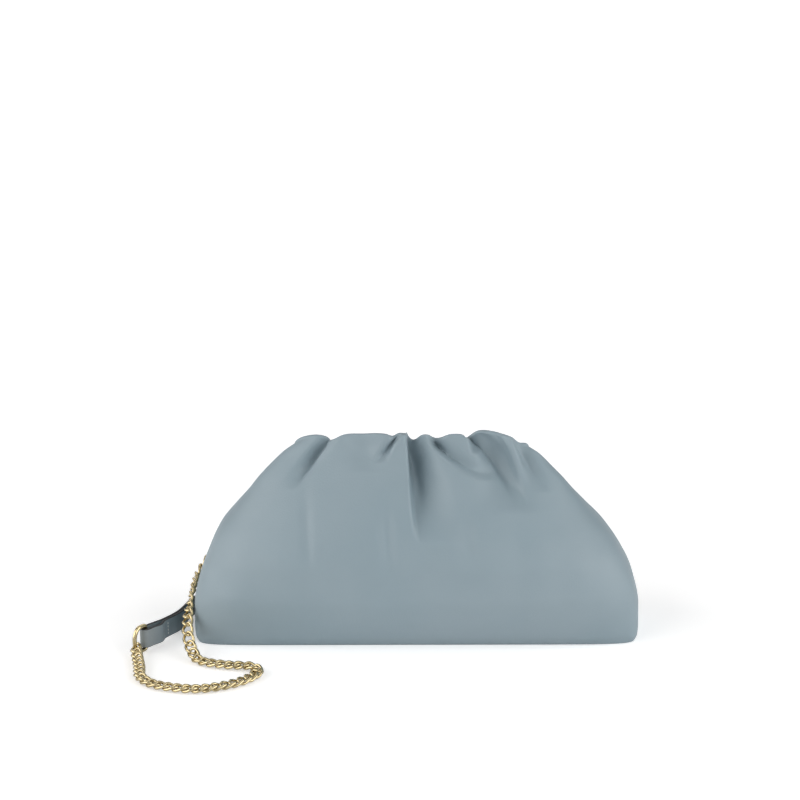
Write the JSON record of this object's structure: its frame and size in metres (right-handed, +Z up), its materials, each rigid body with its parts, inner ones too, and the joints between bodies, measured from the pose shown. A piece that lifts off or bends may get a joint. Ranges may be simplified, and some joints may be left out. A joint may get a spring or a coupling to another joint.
{
  "type": "pouch bag",
  "caption": "Soft leather pouch bag with a gathered mouth and flat base, and a shoulder strap of curb chain and leather lying beside it.",
  "frame": {"origin": "middle of the flat base, on the floor", "axes": "+Z up, +X to the bag's right end as seen from the front, +Y to the back"},
  "size_m": [0.3632, 0.2815, 0.1519],
  "materials": {
    "bag_leather": "smooth pale blue-grey leather, soft satin sheen",
    "strap_leather": "the same leather with dark painted edges",
    "gold_metal": "polished pale gold plating"
  },
  "bodies": {
    "root": {"bag_body": "bag_leather", "strap_leather": "strap_leather", "chain_left": "gold_metal", "chain_right": "gold_metal", "ring_left": "gold_metal", "ring_right": "gold_metal", "anchor_left": "gold_metal", "anchor_right": "gold_metal"}
  },
  "joints": []
}
